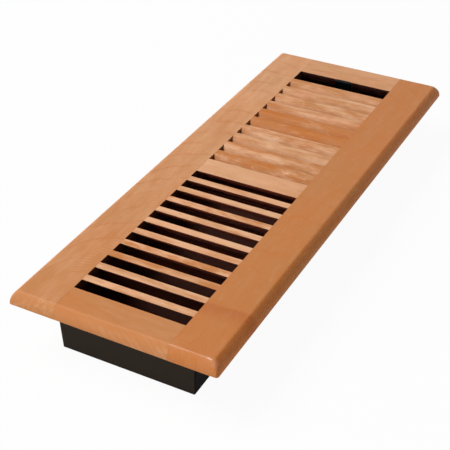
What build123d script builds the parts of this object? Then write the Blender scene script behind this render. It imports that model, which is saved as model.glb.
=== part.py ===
"""Drop-in floor register: a maple louvre plate on a black damper box.

Millimetres, +Z up. The origin is the middle of the box's bottom rim, +Y points at the lever end.
The plate is two full-length stiles, three rails between them and two fields of fixed slats that lean
opposite ways. The box carries a row of linked blades that a lever opens and shuts.
"""

import os
from math import asin, cos, radians, sin, tan

from build123d import *

# Face plate
plate_width = 144.3
plate_thickness = 9.0
near_rail_width = 22.85
centre_rail_width = 18.45
centre_rail_foot = 0.8
far_rail_width = 29.65
lever_slot = 15.0
edge_round = 11.0
arris_radius = 2.5

# Louvre fields
slot_length = 78.2
louvre_slot = 8.55
slat_face = 5.95
near_slat_count = 10
far_slat_count = 10
lean_angle = 45.0
slat_arris = 0.25

# Joints in the wood
tenon_height = 3.4
slat_tenon = 3.0
rail_tenon = 6.0
rail_tenon_inset = 2.4
glue_gap = 0.1

# Damper box
box_drop = 37.1
box_wall = 2.0
box_draft = 2.75
box_corner = 2.5
side_ledge = 10.1
near_ledge = 7.65
far_ledge = 13.95
flange_thickness = 2.0
side_setback = 1.1
near_setback = 0.65
far_setback = 6.95
rabbet_gap = 0.2

# Staples that hold the box's flange to the stiles
staple_pitch = 80.0
staples_per_side = 4
staple_crown = 10.0
staple_leg = 6.2
staple_wire = 1.2
staple_gauge = 0.7
staple_edge = 4.6
staple_gap = 0.05

# Damper blades
blade_count = 12
blade_overlap = 1.0
blade_thickness = 3.2
blade_tip = 1.2
blade_floor_gap = 0.9
blade_side_gap = 0.9
blade_end_gap = 1.0
swing = 85.0
trunnion_radius = 1.75
trunnion_recess = 0.2
pin_flats = 0.6
running_gap = 0.1

# Cranks, link bar and lever
crank_radius = 7.0
crank_hub = 2.9
crank_eye = 2.4
crank_web = 1.8
crank_pin = 1.5
pin_wall_gap = 0.7
bar_gap = 0.3
bar_thickness = 1.8
bar_height = 5.0
bar_end = 4.0
foot_thickness = 1.6
foot_length = 14.0
foot_clear = 5.0
peg_width = 2.4
peg_gap = 0.05
peg_inset = 3.5
lever_thickness = 3.6
lever_width = 12.8
lever_corner = 1.2
lever_above = 0.9
lever_gap = 0.8
arm_head_gap = 0.45
wall_gap = 1.0

# Heights
underside = box_drop
face = underside + plate_thickness
rabbet = underside + flange_thickness
tenon_bottom = (rabbet + face - tenon_height) / 2
tenon_top = tenon_bottom + tenon_height

# Stations along the plate
slat_pitch = louvre_slot + slat_face
near_field = near_slat_count * slat_pitch + louvre_slot
far_field = far_slat_count * slat_pitch
rails_total = near_rail_width + centre_rail_width + far_rail_width
plate_length = rails_total + near_field + far_field + lever_slot
near_end = -plate_length / 2
near_slot = near_end + near_rail_width
centre_near = near_slot + near_field
centre_far = centre_near + centre_rail_width
lever_near = centre_far + far_field
lever_far = lever_near + lever_slot
centre_inset = (centre_rail_width - centre_rail_foot) / 2
slot_half = slot_length / 2
edge_turn = asin(plate_thickness / edge_round)
edge_run = edge_round * (1 - cos(edge_turn))
slope = tan(radians(lean_angle))

# Box walls, measured at their top outer edge, and the slope of their draft
box_half_width = slot_half + side_ledge
box_near = near_slot - near_ledge
box_far = lever_far + far_ledge
box_middle = (box_near + box_far) / 2
box_half_length = (box_far - box_near) / 2
draft_slope = tan(radians(box_draft))


def inner_half(outer_half, height):
    """Distance from the box's middle to a wall's inner face at a height."""
    return outer_half - box_wall - (underside - height) * draft_slope


# Blade row
blade_room = 2 * inner_half(box_half_length, underside / 2)
blade_pitch = (blade_room - blade_overlap - 2 * blade_end_gap) / blade_count
blade_chord = blade_pitch + blade_overlap
axis_height = blade_floor_gap + blade_chord / 2
axis_wall = inner_half(box_half_width, axis_height)
first_axis = box_middle - blade_pitch * (blade_count - 1) / 2
axes = [first_axis + blade_pitch * place for place in range(blade_count)]

# Link chain across the box, from the wall inwards
foot_outer = axis_wall - wall_gap
bar_outer = foot_outer - foot_thickness
bar_inner = bar_outer - bar_thickness
web_outer = bar_inner - bar_gap
blade_right = web_outer - crank_web
blade_left = blade_side_gap - inner_half(box_half_width, blade_floor_gap)
trunnion_end = axis_wall + box_wall - trunnion_recess
pin_end = axis_wall - pin_wall_gap
pin_hole = 2 * (crank_pin + running_gap)

# Crank pins at rest, with the blades upright and the lever at the far side of its slot
crank_angle = radians(swing / 2)
pin_forward = crank_radius * sin(crank_angle)
pin_up = crank_radius * cos(crank_angle)
bar_level = axis_height + pin_up
lever_rise = crank_radius - pin_up
lever_middle = (lever_near + lever_far) / 2 + pin_forward
lever_front = lever_middle - lever_thickness / 2
arm_bottom = axis_height + blade_chord / 2 + lever_gap
arm_top = underside - lever_rise - arm_head_gap
foot_far = axes[-1] + pin_forward - foot_clear
foot_near = foot_far - foot_length

# Staples through the box's side flanges, and the slits that take their legs
staple_line = box_half_width - staple_edge
staple_span = staple_crown - staple_gauge
slit_width = staple_wire + 2 * staple_gap
slit_length = staple_gauge + 2 * staple_gap
staple_places = ((-staple_line, box_middle), (staple_line, box_middle))


def save(builder, label):
    """Label a finished piece and write it under its node's name."""
    builder.part.label = label
    export_step(builder.part, f"parts/{label}.step")


def slat_tenon_outline(top_near, lean, gap):
    """Corners of a slat's tenon section in Y and Z, grown by a gap on every side."""
    low = tenon_bottom - gap
    high = tenon_top + gap
    side = gap / cos(radians(lean_angle))
    near_low = top_near + lean * (face - low) * slope - side
    near_high = top_near + lean * (face - high) * slope - side
    width = slat_face + 2 * side
    return [
        (near_low, low),
        (near_low + width, low),
        (near_high + width, high),
        (near_high, high),
    ]


def crank_outline(axis):
    """Corners of a tapered crank in Y and Z, from past its blade's axis to past its pin."""
    along = Vector(sin(crank_angle), cos(crank_angle))
    across = Vector(cos(crank_angle), -sin(crank_angle))
    hub = Vector(axis, axis_height) - along * crank_hub
    eye = Vector(axis, axis_height) + along * (crank_radius + crank_eye)
    return [
        hub - across * crank_hub,
        hub + across * crank_hub,
        eye + across * crank_eye,
        eye - across * crank_eye,
    ]


def rail_tenon_span(near, far):
    """Middle and length, along Y, of the tenon on a rail."""
    inset = rail_tenon_inset
    return (near + far) / 2, far - near - 2 * inset


os.makedirs("parts", exist_ok=True)

# Where each slat's top face starts, and which way its foot leans
near_tops = [near_slot + louvre_slot + slat_pitch * place for place in range(near_slat_count)]
far_tops = [centre_far + louvre_slot + slat_pitch * place for place in range(far_slat_count)]
slats = [(f"near_slat_{place + 1:02d}", top, 1) for place, top in enumerate(near_tops)]
slats += [(f"far_slat_{place + 1:02d}", top, -1) for place, top in enumerate(far_tops)]

# Tenon spans of the rails, held clear of the rounded ends and the leaning edges
edge_lean = (face - tenon_bottom) * slope
centre_lean = centre_inset * (face - tenon_bottom) / plate_thickness
near_tenon = rail_tenon_span(near_end + edge_run, near_slot)
centre_tenon = rail_tenon_span(centre_near + centre_lean, centre_far - centre_lean)
far_tenon = rail_tenon_span(lever_far + edge_lean, -near_end - edge_run)

# Blank of the whole plate: an edge rounded down to the floor on all four sides, mitred at the corners
with BuildPart() as plate_blank:
    for plane, half, reach, mode in (
        (Plane.XZ, plate_width / 2, plate_length / 2, Mode.ADD),
        (Plane.YZ, plate_length / 2, plate_width / 2, Mode.INTERSECT),
    ):
        top = half - edge_run
        swell = half - edge_round + edge_round * cos(edge_turn / 2)
        swell_height = underside + edge_round * sin(edge_turn / 2)
        with BuildSketch(plane):
            with BuildLine():
                Line((-half, underside), (half, underside))
                ThreePointArc((half, underside), (swell, swell_height), (top, face))
                Line((top, face), (-top, face))
                ThreePointArc((-top, face), (-swell, swell_height), (-half, underside))
            make_face()
        extrude(amount=reach, both=True, mode=mode)
    fillet(plate_blank.edges().group_by(Axis.Z)[-1], radius=arris_radius)

# Rabbet under the plate that takes the box's flange
with BuildPart() as flange_rabbet:
    with BuildSketch(Plane.XY.offset(underside)):
        with Locations((0, box_middle)):
            RectangleRounded(
                2 * (box_half_width + rabbet_gap),
                2 * (box_half_length + rabbet_gap),
                box_corner + rabbet_gap,
            )
    extrude(amount=flange_thickness)

# Stiles, one at each side, mortised for the slats and rails
for label, side in (("right_stile", 1), ("left_stile", -1)):
    stile_width = plate_width / 2 - slot_half
    with BuildPart() as stile:
        add(plate_blank.part)
        with BuildSketch(Plane.XY.offset(underside)):
            with Locations((side * (slot_half + stile_width / 2), 0)):
                Rectangle(stile_width, plate_length)
        extrude(amount=plate_thickness, mode=Mode.INTERSECT)
        add(flange_rabbet.part, mode=Mode.SUBTRACT)
        with BuildSketch(Plane.YZ.offset(side * slot_half)):
            for _, top_near, lean in slats:
                with BuildLine():
                    Polyline(*slat_tenon_outline(top_near, lean, glue_gap), close=True)
                make_face()
        extrude(amount=side * (slat_tenon + glue_gap), mode=Mode.SUBTRACT)
        with BuildSketch(Plane.YZ.offset(side * slot_half)):
            for middle, length in (near_tenon, centre_tenon, far_tenon):
                with Locations((middle, (tenon_bottom + tenon_top) / 2)):
                    Rectangle(length + 2 * glue_gap, tenon_height + 2 * glue_gap)
        extrude(amount=side * (rail_tenon + glue_gap), mode=Mode.SUBTRACT)
        with BuildSketch(Plane.XY.offset(rabbet)):
            with Locations((side * staple_line, box_middle)):
                with GridLocations(0, staple_pitch, 1, staples_per_side):
                    with GridLocations(0, staple_span, 1, 2):
                        Rectangle(slit_width, slit_length)
        extrude(amount=staple_leg - flange_thickness + staple_gap, mode=Mode.SUBTRACT)
    save(stile, label)

# Rails: profile of each along the plate, from its underside corner round to its face
drop = plate_thickness * slope
rails = {
    "near_rail": (
        [(near_end, underside), (near_slot + drop, underside), (near_slot, face), (near_end, face)],
        near_tenon,
    ),
    "centre_rail": (
        [
            (centre_near + centre_inset, underside),
            (centre_far - centre_inset, underside),
            (centre_far, face),
            (centre_near, face),
        ],
        centre_tenon,
    ),
    "far_rail": (
        [(lever_far + drop, underside), (-near_end, underside), (-near_end, face), (lever_far, face)],
        far_tenon,
    ),
}
for label, (profile, (tenon_middle, tenon_length)) in rails.items():
    with BuildPart() as rail:
        add(plate_blank.part)
        with BuildSketch(Plane.YZ):
            with BuildLine():
                Polyline(*profile, close=True)
            make_face()
        extrude(amount=slot_half, both=True, mode=Mode.INTERSECT)
        if label != "centre_rail":
            add(flange_rabbet.part, mode=Mode.SUBTRACT)
        with BuildSketch(Plane.YZ):
            with Locations((tenon_middle, (tenon_bottom + tenon_top) / 2)):
                Rectangle(tenon_length, tenon_height)
        extrude(amount=slot_half + rail_tenon, both=True)
    save(rail, label)

# Slats: leaning strips, flush with the face, with a stub tenon at each end
for label, top_near, lean in slats:
    foot = lean * drop
    with BuildPart() as slat:
        with BuildSketch(Plane.YZ):
            with BuildLine():
                Polyline(
                    (top_near, face),
                    (top_near + slat_face, face),
                    (top_near + slat_face + foot, underside),
                    (top_near + foot, underside),
                    close=True,
                )
            make_face()
        extrude(amount=slot_half, both=True)
        long_edges = slat.edges().filter_by(Axis.X)
        chamfer(long_edges.group_by(Axis.Z)[-1], length=slat_arris)
        with BuildSketch(Plane.YZ):
            with BuildLine():
                Polyline(*slat_tenon_outline(top_near, lean, 0), close=True)
            make_face()
        extrude(amount=slot_half + slat_tenon, both=True)
    save(slat, label)

# Damper box: four drafted walls, open below, with a flange turned in at the top
with BuildPart() as damper_box:
    with BuildSketch(Plane.XY.offset(rabbet)):
        with Locations((0, box_middle)):
            RectangleRounded(2 * box_half_width, 2 * box_half_length, box_corner)
    extrude(amount=-flange_thickness)
    with BuildSketch(Plane.XY.offset(underside)):
        with Locations((0, box_middle)):
            RectangleRounded(2 * box_half_width, 2 * box_half_length, box_corner)
    extrude(amount=-box_drop, taper=box_draft)
    with BuildSketch(Plane.XY.offset(underside)):
        with Locations((0, box_middle)):
            Rectangle(2 * (box_half_width - box_wall), 2 * (box_half_length - box_wall))
    extrude(amount=-box_drop, taper=box_draft, mode=Mode.SUBTRACT)
    flange_near = near_slot - near_setback
    flange_far = lever_far + far_setback
    with BuildSketch(Plane.XY.offset(underside)):
        with Locations((0, (flange_near + flange_far) / 2)):
            Rectangle(slot_length + 2 * side_setback, flange_far - flange_near)
        with Locations(*staple_places):
            with GridLocations(0, staple_pitch, 1, staples_per_side):
                with GridLocations(0, staple_span, 1, 2):
                    Rectangle(slit_width, slit_length)
    extrude(amount=flange_thickness, mode=Mode.SUBTRACT)
    with BuildSketch(Plane.YZ):
        with Locations(*[(axis, axis_height) for axis in axes]):
            Rectangle(2 * (trunnion_radius + running_gap), 2 * (trunnion_radius + running_gap))
    extrude(amount=box_half_width, both=True, mode=Mode.SUBTRACT)
save(damper_box, "damper_box")

# Staples driven up through the flange into the stiles
with BuildPart() as box_staples:
    with BuildSketch(Plane.XY.offset(underside - staple_gauge)):
        with Locations(*staple_places):
            with GridLocations(0, staple_pitch, 1, staples_per_side):
                Rectangle(staple_wire, staple_crown)
    extrude(amount=staple_gauge)
    with BuildSketch(Plane.XY.offset(underside)):
        with Locations(*staple_places):
            with GridLocations(0, staple_pitch, 1, staples_per_side):
                with GridLocations(0, staple_span, 1, 2):
                    Rectangle(staple_wire, staple_gauge)
    extrude(amount=staple_leg)
save(box_staples, "box_staples")

# Blades: a lens section on two trunnions, with a crank and its pin at the right-hand end.
# The moulded pins have flats where their mould parts.
blade_low = axis_height - blade_chord / 2
blade_high = axis_height + blade_chord / 2
for place, axis in enumerate(axes):
    pin_place = (axis + pin_forward, bar_level)
    with BuildPart() as blade:
        with BuildSketch(Plane.YZ.offset(blade_left)):
            with BuildLine():
                ThreePointArc(
                    (axis + blade_tip / 2, blade_low),
                    (axis + blade_thickness / 2, axis_height),
                    (axis + blade_tip / 2, blade_high),
                )
                Line((axis + blade_tip / 2, blade_high), (axis - blade_tip / 2, blade_high))
                ThreePointArc(
                    (axis - blade_tip / 2, blade_high),
                    (axis - blade_thickness / 2, axis_height),
                    (axis - blade_tip / 2, blade_low),
                )
                Line((axis - blade_tip / 2, blade_low), (axis + blade_tip / 2, blade_low))
            make_face()
        extrude(amount=blade_right - blade_left)
        with BuildSketch(Plane.YZ.offset(blade_right)):
            with BuildLine():
                Polyline(*crank_outline(axis), close=True)
            make_face()
        extrude(amount=crank_web)
        for start, end in ((blade_left, -trunnion_end), (web_outer, trunnion_end)):
            with BuildSketch(Plane.YZ.offset(start)):
                with Locations((axis, axis_height)):
                    Circle(trunnion_radius)
                    Rectangle(2 * trunnion_radius, 2 * pin_flats * trunnion_radius, mode=Mode.INTERSECT)
            extrude(amount=end - start)
        with BuildSketch(Plane.YZ.offset(web_outer)):
            with Locations(pin_place):
                Circle(crank_pin)
                Rectangle(2 * crank_pin, 2 * pin_flats * crank_pin, mode=Mode.INTERSECT)
        extrude(amount=pin_end - web_outer)
    save(blade, f"blade_{place + 1:02d}")

# Link bar: a strip along the right-hand wall with a hole for each crank pin
bar_near = axes[0] + pin_forward - bar_end
bar_far = axes[-1] + pin_forward + bar_end
peg_places = [(foot_near + peg_inset, bar_level), (foot_far - peg_inset, bar_level)]
with BuildPart() as link_bar:
    with BuildSketch(Plane.YZ.offset(bar_inner)):
        with Locations(((bar_near + bar_far) / 2, bar_level)):
            Rectangle(bar_far - bar_near, bar_height)
        with Locations(*[(axis + pin_forward, bar_level) for axis in axes]):
            Rectangle(pin_hole, pin_hole, mode=Mode.SUBTRACT)
        with Locations(*peg_places):
            Rectangle(peg_width + 2 * peg_gap, peg_width + 2 * peg_gap, mode=Mode.SUBTRACT)
    extrude(amount=bar_thickness)
save(link_bar, "link_bar")

# Lever: a foot pegged to the link bar, an arm across the box and a tab up through the lever slot
bar_low = bar_level - bar_height / 2
lever_back = lever_front + lever_thickness
with BuildPart() as damper_lever:
    with BuildSketch(Plane.YZ.offset(bar_outer)):
        with BuildLine():
            Polyline(
                (foot_near, bar_low),
                (foot_far, bar_low),
                (foot_far, bar_low + bar_height),
                (lever_back, arm_bottom),
                (lever_back, arm_top),
                (lever_back - foot_length / 2, arm_top),
                (foot_near, bar_low + bar_height),
                close=True,
            )
        make_face()
    extrude(amount=foot_thickness)
    with BuildSketch(Plane.XZ.offset(-lever_back)):
        with BuildLine():
            Polyline(
                (foot_outer, arm_bottom),
                (foot_outer, arm_top),
                (lever_width / 2, arm_top),
                (lever_width / 2, face + lever_above),
                (-lever_width / 2, face + lever_above),
                (-lever_width / 2, arm_bottom),
                close=True,
            )
        make_face()
    extrude(amount=lever_thickness)
    tab_corners = damper_lever.edges().filter_by(Axis.Y).group_by(Axis.Z)[-1]
    fillet(tab_corners, radius=lever_corner)
    with BuildSketch(Plane.YZ.offset(bar_outer)):
        with Locations(*peg_places):
            Rectangle(peg_width, peg_width)
    extrude(amount=-bar_thickness)
save(damper_lever, "damper_lever")
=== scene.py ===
"""Looks of the louvred floor register: maple boards and slats over a black damper box.

Metres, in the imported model's own frame: +Z up through the face, +Y towards the lever end.
"""

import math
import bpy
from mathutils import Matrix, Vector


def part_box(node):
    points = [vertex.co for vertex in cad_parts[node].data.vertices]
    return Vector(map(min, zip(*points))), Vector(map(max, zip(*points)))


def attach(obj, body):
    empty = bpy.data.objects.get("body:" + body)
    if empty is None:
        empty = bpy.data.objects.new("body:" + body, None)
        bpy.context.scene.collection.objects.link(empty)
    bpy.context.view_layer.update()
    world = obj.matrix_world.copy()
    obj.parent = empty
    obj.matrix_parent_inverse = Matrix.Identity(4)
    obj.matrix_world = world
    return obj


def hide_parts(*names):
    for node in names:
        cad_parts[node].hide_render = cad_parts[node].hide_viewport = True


bl_info = {
    "name": "Louvred floor register",
    "version": (1, 0, 0),
    "blender": (4, 5, 0),
    "location": "View3D > Sidebar > Register",
    "description": "Dresses a packed floor register in maple, black plastic and staples",
    "category": "Object",
}

import bmesh
import bpy
from bpy.props import FloatProperty, FloatVectorProperty, PointerProperty
from bpy.types import Operator, Panel, PropertyGroup
from mathutils import Vector

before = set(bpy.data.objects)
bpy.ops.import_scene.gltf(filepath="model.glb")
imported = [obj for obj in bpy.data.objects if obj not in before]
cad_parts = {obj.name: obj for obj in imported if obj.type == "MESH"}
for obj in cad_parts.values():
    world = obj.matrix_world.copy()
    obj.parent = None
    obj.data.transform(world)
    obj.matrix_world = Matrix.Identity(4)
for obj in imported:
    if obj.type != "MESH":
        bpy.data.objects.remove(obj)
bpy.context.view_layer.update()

# Names in the frame
BODY = "register"
LINKAGE = "linkage"
MAPLE_SLOT = "maple"
PLASTIC_SLOT = "black_plastic"
STEEL_SLOT = "staple_steel"
NODES = sorted(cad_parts)
NEAR_SLATS = [name for name in NODES if name.startswith("near_slat_")]
FAR_SLATS = [name for name in NODES if name.startswith("far_slat_")]
BLADES = [name for name in NODES if name.startswith("blade_")]

# Sizes read from the frame, with slats that lean over by their height
PLATE_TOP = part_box("right_stile")[1].z
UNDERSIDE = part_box("right_stile")[0].z
PLATE_THICKNESS = PLATE_TOP - UNDERSIDE
SLOT_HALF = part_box("right_stile")[0].x
SLAT_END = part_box(NEAR_SLATS[0])[1].x
SLAT_LEAN = 1.0
SLAT_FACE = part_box(NEAR_SLATS[0])[1].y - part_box(NEAR_SLATS[0])[0].y - PLATE_THICKNESS * SLAT_LEAN
FAR_FIELD_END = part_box(FAR_SLATS[-1])[1].y
STAPLE_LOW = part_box("box_staples")[0]
STAPLE_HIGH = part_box("box_staples")[1]

# Meshes: welds, the angles of flat faces and sharp edges, and the steps of an eased edge
WELD = 2e-6
FLAT_ANGLE = math.radians(0.4)
SHARP_ANGLE = math.radians(35)
EASE_STEPS = 3

# Plate's corners: steps of half the arc, run of the stiles' rounded edges, and the slope of a level face
CORNER_STEPS = 3
EDGE_RUN = 0.006
LEVEL_FACE = 0.9999

# Staples: steps of a bend, and the room along the box that holds one of them
BEND_STEPS = 5
STAPLE_SPACE = 0.04

# Slats' tenons: height, middle over the underside, share of the slat's face, and the slope of an end face
TENON_HEIGHT = 0.0034
TENON_MIDDLE = 0.0055
TENON_CHEEK = 0.96
END_FACE = 0.5

# Slats from the near end: tone from pale 0 to amber 1, flecks, mottle of plain and flecked ones, seeds
NEAR_TONES = (0.14, 0.10, 0.40, 0.22, 0.06, 0.02, 0.06, 0.14, 0.08, 0.10)
FAR_TONES = (0.48, 0.38, 0.30, 0.22, 0.78, 0.72, 0.30, 0.24, 0.26, 0.40)
NEAR_FLECKS = (0.3, 0.4, 0.6, 1.0, 0.3, 0.2, 0.4, 0.9, 0.3, 0.2)
FAR_FLECKS = (1.0, 0.6, 0.3, 0.7, 0.4, 0.4, 0.3, 0.7, 0.3, 0.2)
PLAIN_MOTTLE = 0.9
FLECKED_MOTTLE = 2.6
NEAR_SEED = 20.0
FAR_SEED = 50.0
SEED_STEP = 1.7

# Maple's noises: cells in a metre along, across and through the board
WANDER_CELLS = (28.0, 60.0, 60.0)
SWAY_CELLS = (7.0, 26.0, 26.0)
FADING_CELLS = (24.0, 40.0, 40.0)
STREAK_CELLS = (30.0, 300.0, 300.0)
FIBRE_CELLS = (80.0, 1500.0, 1500.0)
MOTTLE_CELLS = (42.0, 120.0, 120.0)
FLECK_CELLS = (110.0, 460.0, 460.0)
SPECKLE_CELLS = (420.0, 420.0, 420.0)
HUE_CELLS = (19.0, 40.0, 40.0)
HUE_SEED = 60.0
NOISE_MIDDLE = 0.5

# Growth rings: play of the grain and of the pith, pitch, rings to a dark one, and where that one starts
WANDER = 0.003
SWAY = 0.022
RING_PITCH = 0.0006
DARK_RING = 7.0
DARK_RING_START = 0.72

# Where each figure of the maple starts and is full, on its noise or its facing
LATE_WOOD_RAMP = (0.3, 1.0)
FADING_RAMP = (0.35, 0.60)
FLECK_RAMP = (0.52, 0.64)
PALE_FLECK_RAMP = (0.44, 0.30)
HUE_RAMP = (0.3, 0.7)
END_GRAIN_RAMP = (0.45, 0.95)
LONG_EDGE_RAMP = (0.30, 0.60)
UPPER_FACE_RAMP = (0.35, 0.75)

# What each figure adds to the maple's tone
STREAK_TONE = 2.0
FIBRE_TONE = 0.8
LATE_WOOD_TONE = 0.07
DARK_RING_TONE = 0.09
SPECKLE_MIDDLE = 0.42
SPECKLE_TONE = 0.5
# Painted shade: how much deeper the tone grows low in the slots
SLOT_SHADE_TONE = 0.42

# Share of a fleck's colour and of the painted shade in the wood, and the tints of hue and heart wood
FLECK_SHARE = 0.6
SLOT_SHADE_SHARE = 0.24
CHEEK_SHADE_SHARE = 0.94
WHITE = (1.0, 1.0, 1.0, 1.0)
WARM_TINT = (1.02, 0.99, 0.95, 1.0)
COOL_TINT = (0.98, 1.01, 0.99, 1.0)
HEART_TINT = (0.91, 0.80, 0.78, 1.0)
HEART_BEND = 0.7
HEART_EDGE = 0.004
HEART_FADE = 0.016

# Gloss, roughness and relief of the maple
WOOD_SHINE = 0.05
WOOD_ROUGHNESS = 0.38
STREAK_ROUGHNESS = 0.16
CHEEK_ROUGHNESS = 0.5
FIBRE_RELIEF = 0.6
STREAK_RELIEF = 0.4
FLECK_RELIEF = 0.6

# Varnish at a stile's ends: where it thickens, its run, and its beads towards the plate's corners
END_MARGIN = 0.0068
END_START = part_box("right_stile")[1].y - END_MARGIN
END_RUN = 0.003
CORNER_START = 0.060
CORNER_END = 0.068
LEAST_BEAD = 0.2

# Slots: painted shade by depth and its reach along the plate, skin of the cheeks and how much paler their
# painted shade is in the far field, slopes of the faces given painted shade
SLOT_SHADE_START = 0.0012
SLOT_SHADE_END = 0.0075
SLOT_MARGIN = 0.012
SLOT_REACH = END_START - SLOT_MARGIN
CHEEK_SKIN = 0.0002
FAR_CHEEK = 0.45
UPRIGHT_FACE = 0.9
UNDERCUT_FACE = -0.3
UNDERSIDE_FACE = -0.9

# Moulded plastic: its texture and flow marks, roughness, faces along X that get a darker colour as painted
# shade, and how far in the box's walls lie
MOULD_CELLS = (2600.0, 2600.0, 2600.0)
FLOW_CELLS = (9.0, 14.0, 60.0)
FLOW_SEED = 3.0
FLOW_RAMP = (0.3, 0.8)
FLOW_SHARE = 0.5
FLOW_GREY = (0.045, 0.042, 0.040, 1.0)
FLOW_ROUGHNESS = 0.22
PLASTIC_ROUGHNESS = 0.36
SHADED_SIDE_RAMP = (0.5, 0.9)
WALL_INSET = 0.008

# Looks of the plastics: strength of the flow marks, then gloss
BOX_LOOK = (0.1, 0.005)
BLADE_LOOK = (0.03, 0.01)
LEVER_LOOK = (0.03, 0.04)

# Staple wire: cells of its drawn marks, their darker zinc and their roughness
DRAW_CELLS = (900.0, 900.0, 300.0)
DRAW_RAMP = (0.3, 0.7)
DULL_ZINC = (0.40, 0.40, 0.42, 1.0)
STEEL_ROUGHNESS = 0.25
DRAW_ROUGHNESS = 0.2

# Stage: floor, lamps, room light from the horizon upwards, and the camera's frame
FLOOR_REACH = 4.0
FLOOR_GREY = (0.82, 0.82, 0.82, 1.0)
RIM_INSET = 0.003
KEY_PLACE = (-1.24, -0.89, 2.05)
KEY_SIZE = 1.2
TOP_PLACE = (-0.81, -0.01, 2.17)
TOP_SIZE = 0.4
ROOM_TINT = (1.0, 0.99, 0.97, 1.0)
ROOM_FADE = (0.08, 0.45)
ROOM_ABOVE = 0.03
SENSOR_WIDTH = 36.0
CLIP_START = 0.01

# Grain that all the boards share, that all the slats share, and that each board has of its own
BOARD_GRAIN = {"Streaks": 0.11, "Mottle": 0.50, "Flecks": 0.12, "End Start": END_START}
SLAT_GRAIN = {"Streaks": 0.34, "Pith Depth": 0.05, "Pith Lean": 0.3}
STILES = {
    "right_stile": {
        "Seed": 1.3,
        "Tone": 0.61,
        "Tone Lean": -0.3,
        "Edge Tone": 0.24,
        "Pith Depth": 0.110,
        "Pith Side": 0.040,
        "Pith Lean": 0.40,
        "Heart Place": -0.1455,
        "End Varnish": 1.0,
    },
    "left_stile": {
        "Seed": 4.1,
        "Tone": 0.32,
        "Tone Lean": -0.6,
        "Edge Tone": 0.25,
        "Pith Depth": 0.110,
        "Pith Side": -0.025,
        "Pith Lean": 0.45,
        "End Varnish": 0.05,
    },
}
RAILS = {
    "near_rail": {
        "Seed": 7.7,
        "Tone": 0.50,
        "Tone Lean": -1.6,
        "Pith Depth": 0.060,
        "Pith Side": 0.240,
        "Pith Lean": 0.22,
    },
    "centre_rail": {
        "Seed": 9.2,
        "Tone": 0.12,
        "Tone Lean": 1.2,
        "Pith Depth": 0.060,
        "Pith Side": 0.070,
        "Pith Lean": 0.20,
    },
    "far_rail": {
        "Seed": 12.6,
        "Tone": 0.24,
        "Pith Depth": 0.060,
        "Pith Side": -0.240,
        "Pith Lean": 0.22,
    },
}
ALONG_PLATE = -math.pi / 2
ACROSS_PLATE = 0.0


class MapleFinish(PropertyGroup):
    """Colours and varnish of the wood."""

    pale: FloatVectorProperty(
        name="Pale maple",
        description="Lightest boards",
        subtype="COLOR",
        min=0.0,
        max=1.0,
        default=(0.810, 0.455, 0.268),
    )
    honey: FloatVectorProperty(
        name="Honey maple",
        description="Ordinary boards",
        subtype="COLOR",
        min=0.0,
        max=1.0,
        default=(0.580, 0.242, 0.096),
    )
    amber: FloatVectorProperty(
        name="Amber maple",
        description="Darkest boards and heart wood",
        subtype="COLOR",
        min=0.0,
        max=1.0,
        default=(0.570, 0.180, 0.040),
    )
    # Painted shade: near-black colour on the stiles' cheeks at the slot ends and low in the slots, where
    # shade falls
    cheek_painted_shade: FloatVectorProperty(
        name="Cheek painted shade",
        description="Painted shade on the stiles' cheeks at the ends of the slots",
        subtype="COLOR",
        min=0.0,
        max=1.0,
        default=(0.022, 0.008, 0.006),
    )
    # Painted shade: dark colour on the undercut, downward-leaning faces of slats and rails and low in the
    # slots
    undercut_painted_shade: FloatVectorProperty(
        name="Undercut painted shade",
        description="Painted shade on the undercut sides of slats and rails",
        subtype="COLOR",
        min=0.0,
        max=1.0,
        default=(0.300, 0.110, 0.090),
    )
    varnish: FloatProperty(
        name="Varnish",
        description="Weight of the clear coat along the grain",
        subtype="FACTOR",
        min=0.0,
        max=1.0,
        default=0.02,
    )
    varnish_roughness: FloatProperty(
        name="Varnish roughness",
        description="How satin the clear coat is",
        subtype="FACTOR",
        min=0.0,
        max=1.0,
        default=0.16,
    )
    pore_depth: FloatProperty(
        name="Pore depth",
        description="Relief of the grain under the varnish",
        subtype="DISTANCE",
        unit="LENGTH",
        min=0.0,
        default=0.00005,
    )
    edge_ease: FloatProperty(
        name="Edge ease",
        description="Rounding of the boards' and slats' edges",
        subtype="DISTANCE",
        unit="LENGTH",
        min=0.0,
        default=0.00015,
    )
    corner_radius: FloatProperty(
        name="Corner radius",
        description="Rounding of the plate's four corners in plan",
        subtype="DISTANCE",
        unit="LENGTH",
        min=0.0001,
        default=0.0018,
    )


class PlasticFinish(PropertyGroup):
    """Colours and texture of the moulded damper."""

    box_black: FloatVectorProperty(
        name="Box black",
        description="Colour of the damper box",
        subtype="COLOR",
        min=0.0,
        max=1.0,
        default=(0.043, 0.034, 0.027),
    )
    # Painted shade: darker colour on faces along X, the box's long sides and the blades' and link bar's
    # faces along X
    box_side_painted_shade: FloatVectorProperty(
        name="Box side painted shade",
        description="Colour of the damper box's long sides",
        subtype="COLOR",
        min=0.0,
        max=1.0,
        default=(0.009, 0.007, 0.006),
    )
    box_inner_brown: FloatVectorProperty(
        name="Box inner brown",
        description="Colour of the damper box's inside",
        subtype="COLOR",
        min=0.0,
        max=1.0,
        default=(0.160, 0.070, 0.050),
    )
    blade_brown: FloatVectorProperty(
        name="Blade brown",
        description="Colour of the blades and the link bar",
        subtype="COLOR",
        min=0.0,
        max=1.0,
        default=(0.200, 0.080, 0.060),
    )
    lever_black: FloatVectorProperty(
        name="Lever black",
        description="Colour of the damper lever",
        subtype="COLOR",
        min=0.0,
        max=1.0,
        default=(0.0012, 0.0022, 0.0024),
    )
    texture_height: FloatProperty(
        name="Texture height",
        description="Relief of the moulded texture",
        subtype="DISTANCE",
        unit="LENGTH",
        min=0.0,
        default=0.00004,
    )
    edge_ease: FloatProperty(
        name="Edge ease",
        description="Rounding of the moulded edges",
        subtype="DISTANCE",
        unit="LENGTH",
        min=0.0,
        default=0.00025,
    )


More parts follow.
